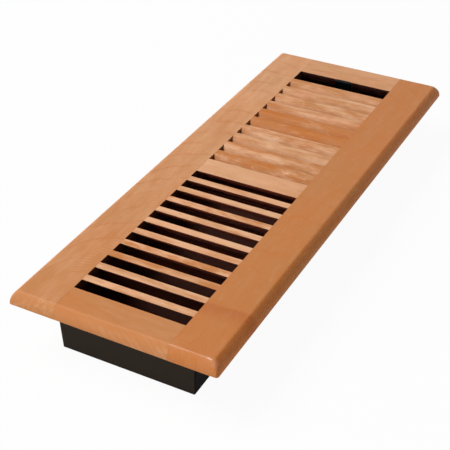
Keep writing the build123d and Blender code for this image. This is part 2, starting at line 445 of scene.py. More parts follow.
class StapleFinish(PropertyGroup):
    """Wire and colour of the staples."""

    zinc: FloatVectorProperty(
        name="Zinc",
        description="Colour of the plated wire",
        subtype="COLOR",
        min=0.0,
        max=1.0,
        default=(0.55, 0.55, 0.57),
    )
    gauge: FloatProperty(
        name="Gauge",
        description="Thickness of the wire along the crown's bend",
        subtype="DISTANCE",
        unit="LENGTH",
        min=0.0001,
        default=0.0007,
    )
    bend: FloatProperty(
        name="Bend",
        description="Radius of the wire's bends",
        subtype="DISTANCE",
        unit="LENGTH",
        min=0.0,
        default=0.0006,
    )


class StudioSettings(PropertyGroup):
    """Floor, light and camera."""

    azimuth: FloatProperty(
        name="Azimuth",
        description="Turn of the camera round the part, from straight in front",
        subtype="ANGLE",
        unit="ROTATION",
        default=math.radians(27.83),
    )
    elevation: FloatProperty(
        name="Elevation",
        description="Height of the camera over the horizon",
        subtype="ANGLE",
        unit="ROTATION",
        default=math.radians(34.31),
    )
    distance: FloatProperty(
        name="Distance",
        description="Camera to target",
        subtype="DISTANCE",
        unit="LENGTH",
        min=0.01,
        default=0.7147,
    )
    lens: FloatProperty(
        name="Lens",
        description="Focal length in millimetres",
        unit="CAMERA",
        min=1.0,
        default=86.86,
    )
    target: FloatVectorProperty(
        name="Target",
        description="Point in the middle of the picture",
        subtype="XYZ",
        unit="LENGTH",
        default=(0.0109, -0.06745, 0.0461),
    )
    key_power: FloatProperty(
        name="Key light",
        description="Power of the large light at the front left",
        unit="POWER",
        min=0.0,
        default=54.0,
    )
    top_power: FloatProperty(
        name="Top light",
        description="Power of the small light overhead",
        unit="POWER",
        min=0.0,
        default=8.0,
    )
    room_light: FloatProperty(
        name="Room light",
        description="Strength of the light from low down all round",
        min=0.0,
        default=1.25,
    )
    floor_glow: FloatProperty(
        name="Floor glow",
        description="Share of plain white that the camera sees in the floor",
        subtype="FACTOR",
        min=0.0,
        max=1.0,
        default=0.95,
    )


# Node helpers


def feed(tree, socket, source):
    """Link a source socket, or set a plain value."""
    if isinstance(source, bpy.types.NodeSocket):
        tree.links.new(source, socket)
    else:
        socket.default_value = source


def link_nodes(tree, *pairs):
    """Link sockets pair by pair."""
    for source, target in pairs:
        tree.links.new(source, target)


def figure(tree, operation, first, second=0.0, clamp=False):
    """One Math node on sockets or numbers."""
    node = tree.nodes.new("ShaderNodeMath")
    node.operation = operation
    node.use_clamp = clamp
    feed(tree, node.inputs[0], first)
    feed(tree, node.inputs[1], second)
    return node.outputs[0]


def added(tree, value, extra, share):
    """A value with a share of another added to it."""
    return figure(tree, "ADD", value, figure(tree, "MULTIPLY", extra, share))


def swung(tree, noise, amount):
    """A noise swung about nought, times an amount."""
    return figure(tree, "MULTIPLY", figure(tree, "SUBTRACT", noise, NOISE_MIDDLE), amount)


def axes_of(tree, vector):
    """X, Y and Z of a place or a facing."""
    node = tree.nodes.new("ShaderNodeSeparateXYZ")
    feed(tree, node.inputs[0], vector)
    return node.outputs


def coordinates(tree, output):
    """Texture coordinates of one kind."""
    return tree.nodes.new("ShaderNodeTexCoord").outputs[output]


def stretched(tree, place, stretch):
    """A place scaled along each axis."""
    node = tree.nodes.new("ShaderNodeVectorMath")
    node.operation = "MULTIPLY"
    feed(tree, node.inputs[0], place)
    feed(tree, node.inputs[1], stretch)
    return node.outputs[0]


def seeded_noise(tree, place, stretch, seed, detail, roughness=0.5):
    """Noise on a stretched place, moved to another pattern by a seed."""
    node = tree.nodes.new("ShaderNodeTexNoise")
    node.noise_dimensions = "4D"
    feed(tree, node.inputs["Vector"], stretched(tree, place, stretch))
    feed(tree, node.inputs["W"], seed)
    node.inputs["Scale"].default_value = 1.0
    node.inputs["Detail"].default_value = detail
    node.inputs["Roughness"].default_value = roughness
    return node.outputs["Fac"]


def ramped(tree, value, low, high, to_low=0.0, to_high=1.0):
    """A value moved from one range to another, held at its ends."""
    node = tree.nodes.new("ShaderNodeMapRange")
    node.interpolation_type = "SMOOTHSTEP"
    feed(tree, node.inputs["Value"], value)
    node.inputs["From Min"].default_value = low
    node.inputs["From Max"].default_value = high
    node.inputs["To Min"].default_value = to_low
    node.inputs["To Max"].default_value = to_high
    return node.outputs["Result"]


def blended(tree, amount, first, second, kind="MIX"):
    """Two colours mixed by an amount."""
    node = tree.nodes.new("ShaderNodeMix")
    node.data_type = "RGBA"
    node.blend_type = kind
    feed(tree, node.inputs["Factor"], amount)
    feed(tree, node.inputs["A"], first)
    feed(tree, node.inputs["B"], second)
    return node.outputs["Result"]


def opaque(colour):
    """A property colour with its alpha."""
    return (*colour, 1.0)


def add_sockets(tree, inputs, outputs):
    """Name a group's sockets: name, type and default for each input, name and type for each output."""
    for name, kind, default in inputs:
        socket = tree.interface.new_socket(name=name, in_out="INPUT", socket_type=kind)
        if default is not None:
            socket.default_value = default
    for name, kind in outputs:
        tree.interface.new_socket(name=name, in_out="OUTPUT", socket_type=kind)
    return tree.nodes.new("NodeGroupInput"), tree.nodes.new("NodeGroupOutput")


# Shared shader groups


def maple_grain():
    """Growth rings, streaks, fibres and flecks of maple, with the grain along the place's X."""
    if "MapleGrain" in bpy.data.node_groups:
        return bpy.data.node_groups["MapleGrain"]
    tree = bpy.data.node_groups.new("MapleGrain", "ShaderNodeTree")
    source, sink = add_sockets(
        tree,
        (
            ("Place", "NodeSocketVector", None),
            ("Facing", "NodeSocketVector", None),
            ("Seed", "NodeSocketFloat", 0.0),
            ("Tone", "NodeSocketFloat", 0.5),
            ("Tone Lean", "NodeSocketFloat", 0.0),
            ("Edge Tone", "NodeSocketFloat", 0.0),
            ("Streaks", "NodeSocketFloat", 0.5),
            ("Mottle", "NodeSocketFloat", 0.5),
            ("Flecks", "NodeSocketFloat", 0.3),
            ("Pith Depth", "NodeSocketFloat", 0.03),
            ("Pith Side", "NodeSocketFloat", 0.0),
            ("Pith Lean", "NodeSocketFloat", 0.1),
            ("Heart Place", "NodeSocketFloat", 1.0),
            ("Pale", "NodeSocketColor", None),
            ("Honey", "NodeSocketColor", None),
            ("Amber", "NodeSocketColor", None),
            ("Painted Shade Colour", "NodeSocketColor", None),
            ("Cheek", "NodeSocketFloat", 0.0),
            ("Slot Depth", "NodeSocketFloat", 0.0),
            ("End Start", "NodeSocketFloat", 1.0),
            ("Varnish", "NodeSocketFloat", 0.1),
            ("End Varnish", "NodeSocketFloat", 0.0),
        ),
        (
            ("Color", "NodeSocketColor"),
            ("Roughness", "NodeSocketFloat"),
            ("Height", "NodeSocketFloat"),
            ("Varnish", "NodeSocketFloat"),
        ),
    )
    given = source.outputs
    seed = given["Seed"]

    # The grain wanders a little from side to side
    wander = seeded_noise(tree, given["Place"], WANDER_CELLS, seed, detail=2.0)
    aside = tree.nodes.new("ShaderNodeCombineXYZ")
    feed(tree, aside.inputs["Y"], swung(tree, wander, WANDER))
    moved = tree.nodes.new("ShaderNodeVectorMath")
    feed(tree, moved.inputs[0], given["Place"])
    feed(tree, moved.inputs[1], aside.outputs[0])
    place = moved.outputs[0]
    axes = axes_of(tree, place)
    facing = axes_of(tree, given["Facing"])

    # Growth rings round a pith that lies under the board and leans along it
    sway = swung(tree, seeded_noise(tree, place, SWAY_CELLS, seed, detail=2.0), SWAY)
    depth = added(tree, given["Pith Depth"], axes["X"], given["Pith Lean"])
    depth = figure(tree, "ADD", depth, sway)
    side = figure(tree, "ADD", axes["Y"], given["Pith Side"])
    reach = added(tree, figure(tree, "MULTIPLY", side, side), depth, depth)
    ring_place = figure(tree, "DIVIDE", figure(tree, "SQRT", reach), RING_PITCH)
    late_wood = ramped(tree, figure(tree, "PINGPONG", ring_place, 1.0), *LATE_WOOD_RAMP)
    dark_ring = figure(tree, "PINGPONG", ring_place, DARK_RING)
    dark_ring = ramped(tree, dark_ring, DARK_RING_START * DARK_RING, DARK_RING)
    fading = seeded_noise(tree, place, FADING_CELLS, seed, detail=1.0)
    dark_ring = figure(tree, "MULTIPLY", dark_ring, ramped(tree, fading, *FADING_RAMP))

    # Streaks and fibres along the grain, broad mottle and short flecks
    streaks = seeded_noise(tree, place, STREAK_CELLS, seed, detail=3.0, roughness=0.6)
    fibres = seeded_noise(tree, place, FIBRE_CELLS, seed, detail=2.0)
    mottle = seeded_noise(tree, place, MOTTLE_CELLS, seed, detail=4.0, roughness=0.6)
    dashes = seeded_noise(tree, place, FLECK_CELLS, seed, detail=2.0)
    fleck = figure(tree, "MULTIPLY", ramped(tree, dashes, *FLECK_RAMP), given["Flecks"])
    pale_fleck = figure(tree, "MULTIPLY", ramped(tree, dashes, *PALE_FLECK_RAMP), given["Flecks"])

    # Tone of the board, moved by all of them, and deeper on its ends and its long edges, and deeper low in
    # the slots as painted shade
    shift = figure(tree, "ADD", swung(tree, streaks, STREAK_TONE), swung(tree, fibres, FIBRE_TONE))
    shift = figure(tree, "MULTIPLY", shift, given["Streaks"])
    shift = figure(tree, "ADD", shift, swung(tree, mottle, given["Mottle"]))
    shift = added(tree, shift, late_wood, LATE_WOOD_TONE)
    shift = added(tree, shift, dark_ring, DARK_RING_TONE)
    end_grain = ramped(tree, figure(tree, "ABSOLUTE", facing["X"]), *END_GRAIN_RAMP)
    speckle = seeded_noise(tree, given["Place"], SPECKLE_CELLS, seed, detail=2.0)
    speckle = figure(tree, "SUBTRACT", speckle, SPECKLE_MIDDLE)
    shift = added(tree, shift, end_grain, figure(tree, "MULTIPLY", speckle, SPECKLE_TONE))
    long_edge = ramped(tree, figure(tree, "ABSOLUTE", facing["Y"]), *LONG_EDGE_RAMP)
    shift = added(tree, shift, long_edge, given["Edge Tone"])
    # Painted shade: tone deepened low in the slots
    shift = added(tree, shift, given["Slot Depth"], SLOT_SHADE_TONE)
    shift = added(tree, shift, axes["X"], given["Tone Lean"])
    tone = figure(tree, "ADD", given["Tone"], shift)

    # Pale to honey over the lower half of the tone, and on to amber over the upper half
    warm = figure(tree, "MULTIPLY", tone, 2.0, clamp=True)
    deep = figure(tree, "SUBTRACT", figure(tree, "MULTIPLY", tone, 2.0), 1.0, clamp=True)
    wood = blended(tree, warm, given["Pale"], given["Honey"])
    wood = blended(tree, deep, wood, given["Amber"])

    # Dark and pale flecks, a slow change of hue, a band of heart wood, and painted shade low in the slots,
    # on the cheeks and on undercut faces
    wood = blended(tree, figure(tree, "MULTIPLY", fleck, FLECK_SHARE), wood, given["Amber"])
    wood = blended(tree, figure(tree, "MULTIPLY", pale_fleck, FLECK_SHARE), wood, given["Pale"])
    hue = ramped(tree, seeded_noise(tree, place, HUE_CELLS, HUE_SEED, detail=2.0), *HUE_RAMP)
    wood = blended(tree, 1.0, wood, blended(tree, hue, WARM_TINT, COOL_TINT), "MULTIPLY")
    bend = added(tree, axes["X"], sway, HEART_BEND)
    from_heart = figure(tree, "SUBTRACT", bend, given["Heart Place"])
    heart = figure(
        tree,
        "MULTIPLY",
        ramped(tree, from_heart, HEART_EDGE, 0.0),
        ramped(tree, from_heart, -HEART_FADE, 0.0),
    )
    wood = blended(tree, 1.0, wood, blended(tree, heart, WHITE, HEART_TINT), "MULTIPLY")
    # Painted shade: dark colour mixed in low in the slots and on the cheeks and undercut faces
    wood = blended(tree, figure(tree, "MULTIPLY", given["Slot Depth"], SLOT_SHADE_SHARE), wood, given["Painted Shade Colour"])
    wood = blended(tree, figure(tree, "MULTIPLY", given["Cheek"], CHEEK_SHADE_SHARE), wood, given["Painted Shade Colour"])
    feed(tree, sink.inputs["Color"], wood)

    # Roughness, and relief that is stronger at a board's ends
    beyond = figure(tree, "SUBTRACT", figure(tree, "ABSOLUTE", axes["X"]), given["End Start"])
    end_zone = ramped(tree, beyond, 0.0, END_RUN)
    rough = added(tree, WOOD_ROUGHNESS, streaks, STREAK_ROUGHNESS)
    cheek_rough = figure(tree, "MULTIPLY", given["Cheek"], CHEEK_ROUGHNESS)
    feed(tree, sink.inputs["Roughness"], figure(tree, "ADD", rough, cheek_rough, clamp=True))
    relief = added(tree, figure(tree, "MULTIPLY", fibres, FIBRE_RELIEF), streaks, STREAK_RELIEF)
    relief = figure(tree, "SUBTRACT", relief, figure(tree, "MULTIPLY", fleck, FLECK_RELIEF))
    relief = figure(tree, "MULTIPLY", relief, figure(tree, "ADD", end_zone, 1.0))
    feed(tree, sink.inputs["Height"], relief)

    # Varnish, in thick beads on the upper rounding of a stile's ends, most at the plate's corners
    corner = figure(tree, "ABSOLUTE", axes["Y"])
    corner = ramped(tree, corner, CORNER_START, CORNER_END, LEAST_BEAD, 1.0)
    bead = figure(tree, "MULTIPLY", figure(tree, "MULTIPLY", end_zone, corner), given["End Varnish"])
    bead = figure(tree, "MULTIPLY", bead, ramped(tree, facing["Z"], *UPPER_FACE_RAMP))
    feed(tree, sink.inputs["Varnish"], figure(tree, "ADD", bead, given["Varnish"], clamp=True))
    return tree


def moulded_texture():
    """Fine spark-eroded texture of moulded plastic, with faint flow marks."""
    if "MouldedTexture" in bpy.data.node_groups:
        return bpy.data.node_groups["MouldedTexture"]
    tree = bpy.data.node_groups.new("MouldedTexture", "ShaderNodeTree")
    source, sink = add_sockets(
        tree,
        (
            ("Place", "NodeSocketVector", None),
            ("Plastic", "NodeSocketColor", None),
            ("Sheen Marks", "NodeSocketFloat", 0.5),
        ),
        (
            ("Color", "NodeSocketColor"),
            ("Roughness", "NodeSocketFloat"),
            ("Height", "NodeSocketFloat"),
        ),
    )
    given = source.outputs
    grain = seeded_noise(tree, given["Place"], MOULD_CELLS, 0.0, detail=2.0)
    flow = seeded_noise(tree, given["Place"], FLOW_CELLS, FLOW_SEED, detail=3.0)
    lift = figure(tree, "MULTIPLY", ramped(tree, flow, *FLOW_RAMP), given["Sheen Marks"])
    lift = figure(tree, "MULTIPLY", lift, FLOW_SHARE)
    feed(tree, sink.inputs["Color"], blended(tree, lift, given["Plastic"], FLOW_GREY))
    feed(tree, sink.inputs["Roughness"], added(tree, PLASTIC_ROUGHNESS, flow, FLOW_ROUGHNESS))
    feed(tree, sink.inputs["Height"], grain)
    return tree


# Materials


def new_material(name):
    """An empty node material with its shader and output."""
    material = bpy.data.materials.new(name)
    material.use_nodes = True
    tree = material.node_tree
    tree.nodes.clear()
    shader = tree.nodes.new("ShaderNodeBsdfPrincipled")
    output = tree.nodes.new("ShaderNodeOutputMaterial")
    tree.links.new(shader.outputs[0], output.inputs["Surface"])
    return material, tree, shader


def object_place(tree, turn, output="Object"):
    """Object coordinates, or the surface's own facing, turned about Z."""
    mapping = tree.nodes.new("ShaderNodeMapping")
    mapping.inputs["Rotation"].default_value = (0.0, 0.0, turn)
    tree.links.new(coordinates(tree, output), mapping.inputs["Vector"])
    return mapping.outputs["Vector"]


def bump(tree, shader, height, distance):
    """Relief from a height on a shader's normal."""
    node = tree.nodes.new("ShaderNodeBump")
    node.inputs["Distance"].default_value = distance
    tree.links.new(height, node.inputs["Height"])
    tree.links.new(node.outputs["Normal"], shader.inputs["Normal"])


def piece_value(tree, name):
    """A value stored on the piece's own mesh."""
    node = tree.nodes.new("ShaderNodeAttribute")
    node.attribute_name = name
    return node.outputs["Fac"]


def painted_shade_mask(tree):
    """Mask of painted shade: one on the slots' cheeks, less in the far field, and on the undercut sides of
    slats and rails.
    """
    place = axes_of(tree, coordinates(tree, "Object"))
    facing = axes_of(tree, coordinates(tree, "Normal"))
    inside = figure(tree, "LESS_THAN", figure(tree, "ABSOLUTE", place["X"]), SLOT_HALF + CHEEK_SKIN)
    upright = figure(tree, "GREATER_THAN", figure(tree, "ABSOLUTE", facing["X"]), UPRIGHT_FACE)
    cheek = figure(tree, "MULTIPLY", inside, upright)
    beyond_middle = figure(tree, "GREATER_THAN", place["Y"], 0.0)
    before_lever = figure(tree, "LESS_THAN", place["Y"], FAR_FIELD_END)
    paler = figure(tree, "MULTIPLY", figure(tree, "MULTIPLY", beyond_middle, before_lever), FAR_CHEEK)
    cheek = figure(tree, "SUBTRACT", cheek, figure(tree, "MULTIPLY", cheek, paler))
    downward = figure(tree, "LESS_THAN", facing["Z"], UNDERCUT_FACE)
    leaning = figure(tree, "GREATER_THAN", facing["Z"], UNDERSIDE_FACE)
    return figure(tree, "MAXIMUM", cheek, figure(tree, "MULTIPLY", downward, leaning))


def slot_shade_depth(tree):
    """Mask of painted shade in the slots: nought at the plate's face between the stiles, rising to one low
    in the slots.
    """
    place = axes_of(tree, coordinates(tree, "Object"))
    inside = figure(tree, "LESS_THAN", figure(tree, "ABSOLUTE", place["X"]), SLOT_HALF)
    within = figure(tree, "LESS_THAN", figure(tree, "ABSOLUTE", place["Y"]), SLOT_REACH)
    below = figure(tree, "SUBTRACT", PLATE_TOP, place["Z"])
    depth = ramped(tree, below, SLOT_SHADE_START, SLOT_SHADE_END)
    return figure(tree, "MULTIPLY", depth, figure(tree, "MULTIPLY", inside, within))


def maple_material(name, finish, turn, painted_shade_colour, values):
    """Varnished maple: values feed the grain group's inputs by name, as numbers or attribute names."""
    material, tree, shader = new_material(name)
    grain = tree.nodes.new("ShaderNodeGroup")
    grain.node_tree = maple_grain()
    feed(tree, grain.inputs["Place"], object_place(tree, turn))
    feed(tree, grain.inputs["Facing"], object_place(tree, turn, "Normal"))
    for key, value in values.items():
        source = piece_value(tree, value) if isinstance(value, str) else value
        feed(tree, grain.inputs[key], source)
    grain.inputs["Pale"].default_value = opaque(finish.pale)
    grain.inputs["Honey"].default_value = opaque(finish.honey)
    grain.inputs["Amber"].default_value = opaque(finish.amber)
    # Painted shade: the dark colour used on the cheeks, the undercuts and low in the slots
    grain.inputs["Painted Shade Colour"].default_value = opaque(painted_shade_colour)
    grain.inputs["Varnish"].default_value = finish.varnish
    # Painted shade on the cheeks and undercut faces, and deepening low in the slots
    feed(tree, grain.inputs["Cheek"], painted_shade_mask(tree))
    feed(tree, grain.inputs["Slot Depth"], slot_shade_depth(tree))
    tree.links.new(grain.outputs["Color"], shader.inputs["Base Color"])
    tree.links.new(grain.outputs["Roughness"], shader.inputs["Roughness"])
    tree.links.new(grain.outputs["Varnish"], shader.inputs["Coat Weight"])
    shader.inputs["Coat Roughness"].default_value = finish.varnish_roughness
    shader.inputs["Specular IOR Level"].default_value = WOOD_SHINE
    bump(tree, shader, grain.outputs["Height"], finish.pore_depth)
    return material


def inner_walls(tree, facing):
    """One on the box's four inner wall faces, and else nought."""
    low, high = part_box("damper_box")
    place = axes_of(tree, coordinates(tree, "Object"))
    along = figure(tree, "SUBTRACT", place["Y"], (low.y + high.y) / 2)
    side_wall = figure(tree, "MULTIPLY", place["X"], facing["X"])
    side_wall = figure(tree, "LESS_THAN", side_wall, WALL_INSET - high.x)
    end_wall = figure(tree, "MULTIPLY", along, facing["Y"])
    end_wall = figure(tree, "LESS_THAN", end_wall, WALL_INSET - (high.y - low.y) / 2)
    return figure(tree, "MAXIMUM", side_wall, end_wall)


def plastic_material(name, finish, look, colour, side_shade_colour, inner_colour=None):
    """Moulded plastic: a look of marks and gloss, and colours for faces along X, darker there as painted
    shade, and for the box's inside.
    """
    material, tree, shader = new_material(name)
    marks, shine = look
    texture = tree.nodes.new("ShaderNodeGroup")
    texture.node_tree = moulded_texture()
    feed(tree, texture.inputs["Place"], object_place(tree, 0.0))
    facing = axes_of(tree, object_place(tree, 0.0, "Normal"))
    # Painted shade: faces along X get the darker side colour
    shaded_side = ramped(tree, figure(tree, "ABSOLUTE", facing["X"]), *SHADED_SIDE_RAMP)
    plastic = blended(tree, shaded_side, opaque(colour), opaque(side_shade_colour))
    if inner_colour is not None:
        plastic = blended(tree, inner_walls(tree, facing), plastic, opaque(inner_colour))
    feed(tree, texture.inputs["Plastic"], plastic)
    texture.inputs["Sheen Marks"].default_value = marks
    tree.links.new(texture.outputs["Color"], shader.inputs["Base Color"])
    tree.links.new(texture.outputs["Roughness"], shader.inputs["Roughness"])
    shader.inputs["Specular IOR Level"].default_value = shine
    bump(tree, shader, texture.outputs["Height"], finish.texture_height)
    return material


def steel_material(name, finish):
    """Zinc-plated wire with a drawn, slightly uneven shine."""
    material, tree, shader = new_material(name)
    draw = seeded_noise(tree, object_place(tree, 0.0), DRAW_CELLS, 0.0, detail=2.0)
    tint = blended(tree, ramped(tree, draw, *DRAW_RAMP), opaque(finish.zinc), DULL_ZINC)
    tree.links.new(tint, shader.inputs["Base Color"])
    tree.links.new(added(tree, STEEL_ROUGHNESS, draw, DRAW_ROUGHNESS), shader.inputs["Roughness"])
    shader.inputs["Metallic"].default_value = 1.0
    return material


# Meshes


def new_piece(name, mesh):
    """A mesh object in the scene, at the origin."""
    piece = bpy.data.objects.new(name, mesh)
    bpy.context.scene.collection.objects.link(piece)
    return piece


def settle(piece):
    """Turn what a piece's modifiers make into its plain mesh, and remove them."""
    graph = bpy.context.evaluated_depsgraph_get()
    graph.update()
    mesh = bpy.data.meshes.new_from_object(
        piece.evaluated_get(graph), preserve_all_data_layers=True, depsgraph=graph
    )
    piece.modifiers.clear()
    piece.data = mesh
    mesh.name = piece.name


def ease_edges(piece, radius):
    """Round a piece's sharp edges, with flat faces kept flat in the shading."""
    for polygon in piece.data.polygons:
        polygon.use_smooth = True
    easing = piece.modifiers.new("Ease", "BEVEL")
    easing.width = radius
    easing.segments = EASE_STEPS
    easing.limit_method = "ANGLE"
    easing.angle_limit = SHARP_ANGLE
    easing.use_clamp_overlap = True
    normals = piece.modifiers.new("Flat faces", "WEIGHTED_NORMAL")
    normals.keep_sharp = True
    settle(piece)


def merged_copy(node_name, piece_name):
    """A CAD node's shape as one closed mesh with its flat faces whole."""
    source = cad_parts[node_name].data
    shell = bmesh.new()
    corners = [shell.verts.new(vertex.co) for vertex in source.vertices]
    for polygon in source.polygons:
        shell.faces.new([corners[index] for index in polygon.vertices])
    bmesh.ops.remove_doubles(shell, verts=shell.verts, dist=WELD)
    bmesh.ops.dissolve_limit(shell, angle_limit=FLAT_ANGLE, verts=shell.verts, edges=shell.edges)
    mesh = bpy.data.meshes.new(piece_name)
    shell.to_mesh(mesh)
    shell.free()
    return new_piece(piece_name, mesh)


def corner_insets(vertex, corner):
    """How far a vertex lies in from each of the two edges that meet at a corner."""
    return abs(corner.x - vertex.co.x), abs(corner.y - vertex.co.y)


def cut_beside_mitre(shell, corner, radius):
    """Cut a stile's rounded edges beside the mitre at a corner, and give the vertices there."""
    ring = set()
    for vertex in shell.verts:
        across, along = corner_insets(vertex, corner)
        if abs(across - along) < WELD and across < EDGE_RUN:
            ring.add(vertex)
    outward = Vector((math.copysign(1.0, corner.x), math.copysign(1.0, corner.y)))
    for step in range(-CORNER_STEPS, CORNER_STEPS + 1):
        shell.normal_update()
        strips = [
            face
            for face in shell.faces
            if abs(face.normal.z) < LEVEL_FACE and ring.intersection(face.verts)
        ]
        edges = dict.fromkeys(edge for face in strips for edge in face.edges)
        vertices = dict.fromkeys(vertex for face in strips for vertex in face.verts)
        cut = bmesh.ops.bisect_plane(
            shell,
            geom=[*vertices, *edges, *strips],
            dist=WELD,
            plane_co=(corner.x, corner.y - outward.y * radius * step / CORNER_STEPS, 0.0),
            plane_no=(outward.x, -outward.y, 0.0),
        )
        ring.update(item for item in cut["geom_cut"] if isinstance(item, bmesh.types.BMVert))
    return ring


def round_corners(piece, radius):
    """Round a stile's two outer corners in plan, with the same arc at every height."""
    shell = bmesh.new()
    shell.from_mesh(piece.data)
    outer_side = max((vertex.co.x for vertex in shell.verts), key=abs)
    half_length = max(vertex.co.y for vertex in shell.verts)
    for end in (-half_length, half_length):
        corner = Vector((outer_side, end))
        for vertex in cut_beside_mitre(shell, corner, radius):
            across, along = corner_insets(vertex, corner)
            turn = math.pi / 4 * (1 - abs(along - across) / radius)
            centre = min(across, along) + radius
            insets = [centre - radius * math.cos(turn), centre - radius * math.sin(turn)]
            if across > along:
                insets.reverse()
            vertex.co.x = corner.x - math.copysign(insets[0], corner.x)
            vertex.co.y = corner.y - math.copysign(insets[1], corner.y)
    shell.to_mesh(piece.data)
    shell.free()


def carry(piece, body, slot, material, *nodes):
    """Give a piece its material, and seat it on its body in place of its nodes."""
    piece.data.materials.clear()
    piece.data.materials.append(material)
    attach(piece, body)
    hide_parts(*nodes)


def dress(node_name, material):
    """Give a CAD node that stays its material."""
    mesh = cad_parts[node_name].data
    mesh.materials.clear()
    mesh.materials.append(material)


def slat_places(name, tops, tones, flecks, first_seed):
    """Points under the slats' top near edges, each with its tone, flecks, mottle and seed."""
    mesh = bpy.data.meshes.new(name)
    mesh.from_pydata([(0.0, top, UNDERSIDE) for top in tops], [], [])
    seeds = [first_seed + SEED_STEP * place for place in range(len(tops))]
    mottles = [PLAIN_MOTTLE + (FLECKED_MOTTLE - PLAIN_MOTTLE) * fleck for fleck in flecks]
    columns = {"slat_tone": tones, "slat_flecks": flecks, "slat_mottle": mottles, "slat_seed": seeds}
    for key, column in columns.items():
        mesh.attributes.new(key, "FLOAT", "POINT").data.foreach_set("value", list(column))
    return new_piece(name, mesh)


def staple_crowns():
    """Each staple's X and its crown's ends in Y, read from the node's separate solids."""
    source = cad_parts["box_staples"].data
    crown = [vertex.co for vertex in source.vertices if vertex.co.z < STAPLE_LOW.z + WELD]
    groups = {}
    for corner in crown:
        side = corner.x > 0
        run = round(corner.y / STAPLE_SPACE)
        groups.setdefault((side, run), []).append(corner)
    crowns = []
    for corners in groups.values():
        across = [corner.x for corner in corners]
        along = [corner.y for corner in corners]
        crowns.append(((min(across) + max(across)) / 2, min(along), max(along)))
    return crowns


def wire_width():
    """Width of the staples' flat wire, from the corners on one side."""
    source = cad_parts["box_staples"].data
    across = [vertex.co.x for vertex in source.vertices if vertex.co.x > 0]
    return max(across) - min(across)


# Geometry Nodes


def tree_input(modifier, name, value):
    """Set a Geometry Nodes input by its socket's identifier."""
    for item in modifier.node_group.interface.items_tree:
        if item.item_type == "SOCKET" and item.in_out == "INPUT" and item.name == name:
            modifier[item.identifier] = value
            return
    raise KeyError(name)


